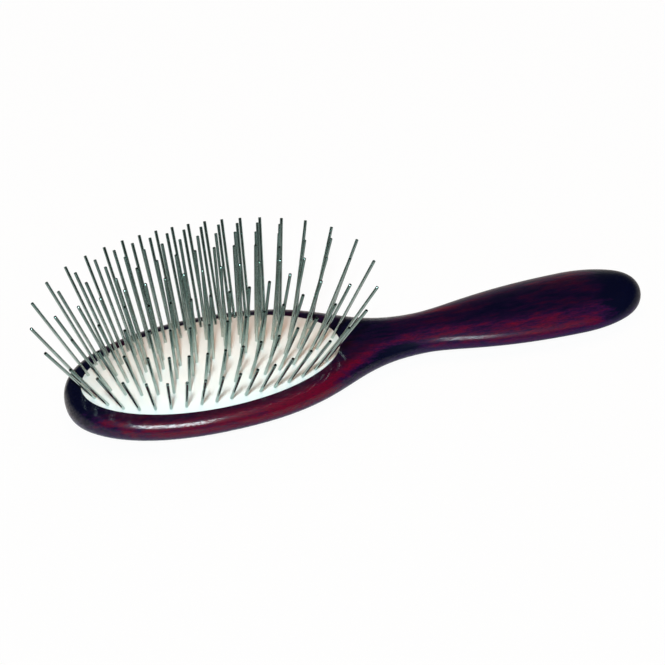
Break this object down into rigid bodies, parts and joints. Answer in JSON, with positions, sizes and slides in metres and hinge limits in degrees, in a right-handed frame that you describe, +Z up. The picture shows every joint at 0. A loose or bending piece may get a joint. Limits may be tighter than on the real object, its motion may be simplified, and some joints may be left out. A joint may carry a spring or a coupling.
{
  "type": "pin brush",
  "caption": "Oval cushion pin brush with a one-piece wooden handle, a domed rubber pad and long steel pins that fan outwards.",
  "frame": {"origin": "on the resting plane, below the middle of the oval cushion", "axes": "+X along the brush towards the butt of the handle, +Z up out of the cushion, the way the pins point"},
  "size_m": [0.2284, 0.087, 0.0565],
  "materials": {
    "dark_wood": "dark stained hardwood under a thick gloss lacquer",
    "white_rubber": "smooth white moulded rubber, satin",
    "pin_steel": "polished drawn steel wire"
  },
  "bodies": {
    "root": {"wooden_body": "dark_wood", "rubber_cushion": "white_rubber", "outer_ring_pins": "pin_steel", "second_ring_pins": "pin_steel", "third_ring_pins": "pin_steel", "fourth_ring_pins": "pin_steel", "centre_row_pins": "pin_steel"}
  },
  "joints": []
}
